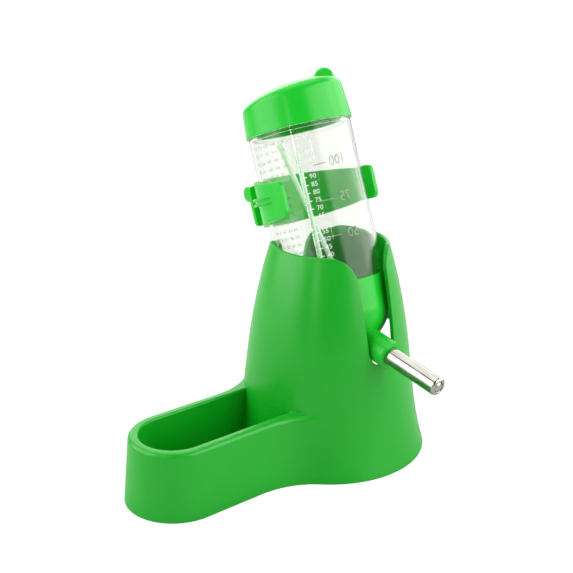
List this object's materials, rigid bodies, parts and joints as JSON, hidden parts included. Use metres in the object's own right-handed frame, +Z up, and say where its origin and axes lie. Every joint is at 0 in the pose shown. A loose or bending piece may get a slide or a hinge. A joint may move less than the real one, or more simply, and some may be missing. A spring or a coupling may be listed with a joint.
{
  "type": "small-animal water bottle with stand",
  "caption": "Clear screw-capped water bottle with a steel ball nozzle, leaning in a moulded green stand that has a food trough and a hut doorway.",
  "frame": {"origin": "centre of the stand's round foot, on the floor", "axes": "+Z up, nozzle towards -Y, trough towards -X, hut doorway towards +X, the bottle leans back towards +Y"},
  "size_m": [0.1473, 0.1172, 0.1702],
  "materials": {
    "stand_plastic": "satin",
    "green_plastic": "gloss",
    "clear_plastic": "clear gloss",
    "steel": "polished stainless",
    "silicone": "translucent matt"
  },
  "bodies": {
    "stand": {"stand_shell": "stand_plastic"},
    "bottle_base": {"bottom_cup": "green_plastic", "nozzle_tube": "steel", "ball_stop": "clear_plastic", "straw_plug": "clear_plastic", "straw_long": "clear_plastic", "straw_short": "clear_plastic"},
    "ball": {"nozzle_ball": "steel"},
    "tank_ring": {"tank_seal": "silicone"},
    "tank_body": {"tank": "clear_plastic"},
    "clip_body": {"clip": "green_plastic"},
    "cap_ring": {"cap_seal": "silicone"},
    "cap_body": {"top_cap": "green_plastic"}
  },
  "joints": [
    {"name": "bottle_lift", "type": "slide", "parent": "stand", "child": "bottle_base", "axis": [0, 0.3584, 0.9336], "range_m": [0, 0.06]},
    {"name": "ball_push", "type": "slide", "parent": "bottle_base", "child": "ball", "axis": [0, 0.9866, 0.1633], "range_m": [0, 0.002]},
    {"name": "tank_rise", "type": "slide", "parent": "bottle_base", "child": "tank_ring", "axis": [0, 0.3584, 0.9336], "range_m": [0, 0.0097]},
    {"name": "tank_turn", "type": "hinge", "parent": "tank_ring", "child": "tank_body", "pos_m": [0, -0.0033, 0.0785], "axis": [0, 0.3584, 0.9336], "range_deg": [0, 1152]},
    {"name": "clip_slide", "type": "slide", "parent": "tank_body", "child": "clip_body", "axis": [0, 0.3584, 0.9336], "range_m": [-0.001, 0.017]},
    {"name": "cap_rise", "type": "slide", "parent": "tank_body", "child": "cap_ring", "axis": [0, 0.3584, 0.9336], "range_m": [0, 0.0097]},
    {"name": "cap_turn", "type": "hinge", "parent": "cap_ring", "child": "cap_body", "pos_m": [0, -0.0033, 0.0785], "axis": [0, 0.3584, 0.9336], "range_deg": [0, 1152]}
  ],
  "couplings": [
    {"joint": "tank_rise", "follows": "tank_turn", "m_per_rad": 0.00047746},
    {"joint": "cap_rise", "follows": "cap_turn", "m_per_rad": 0.00047746}
  ]
}
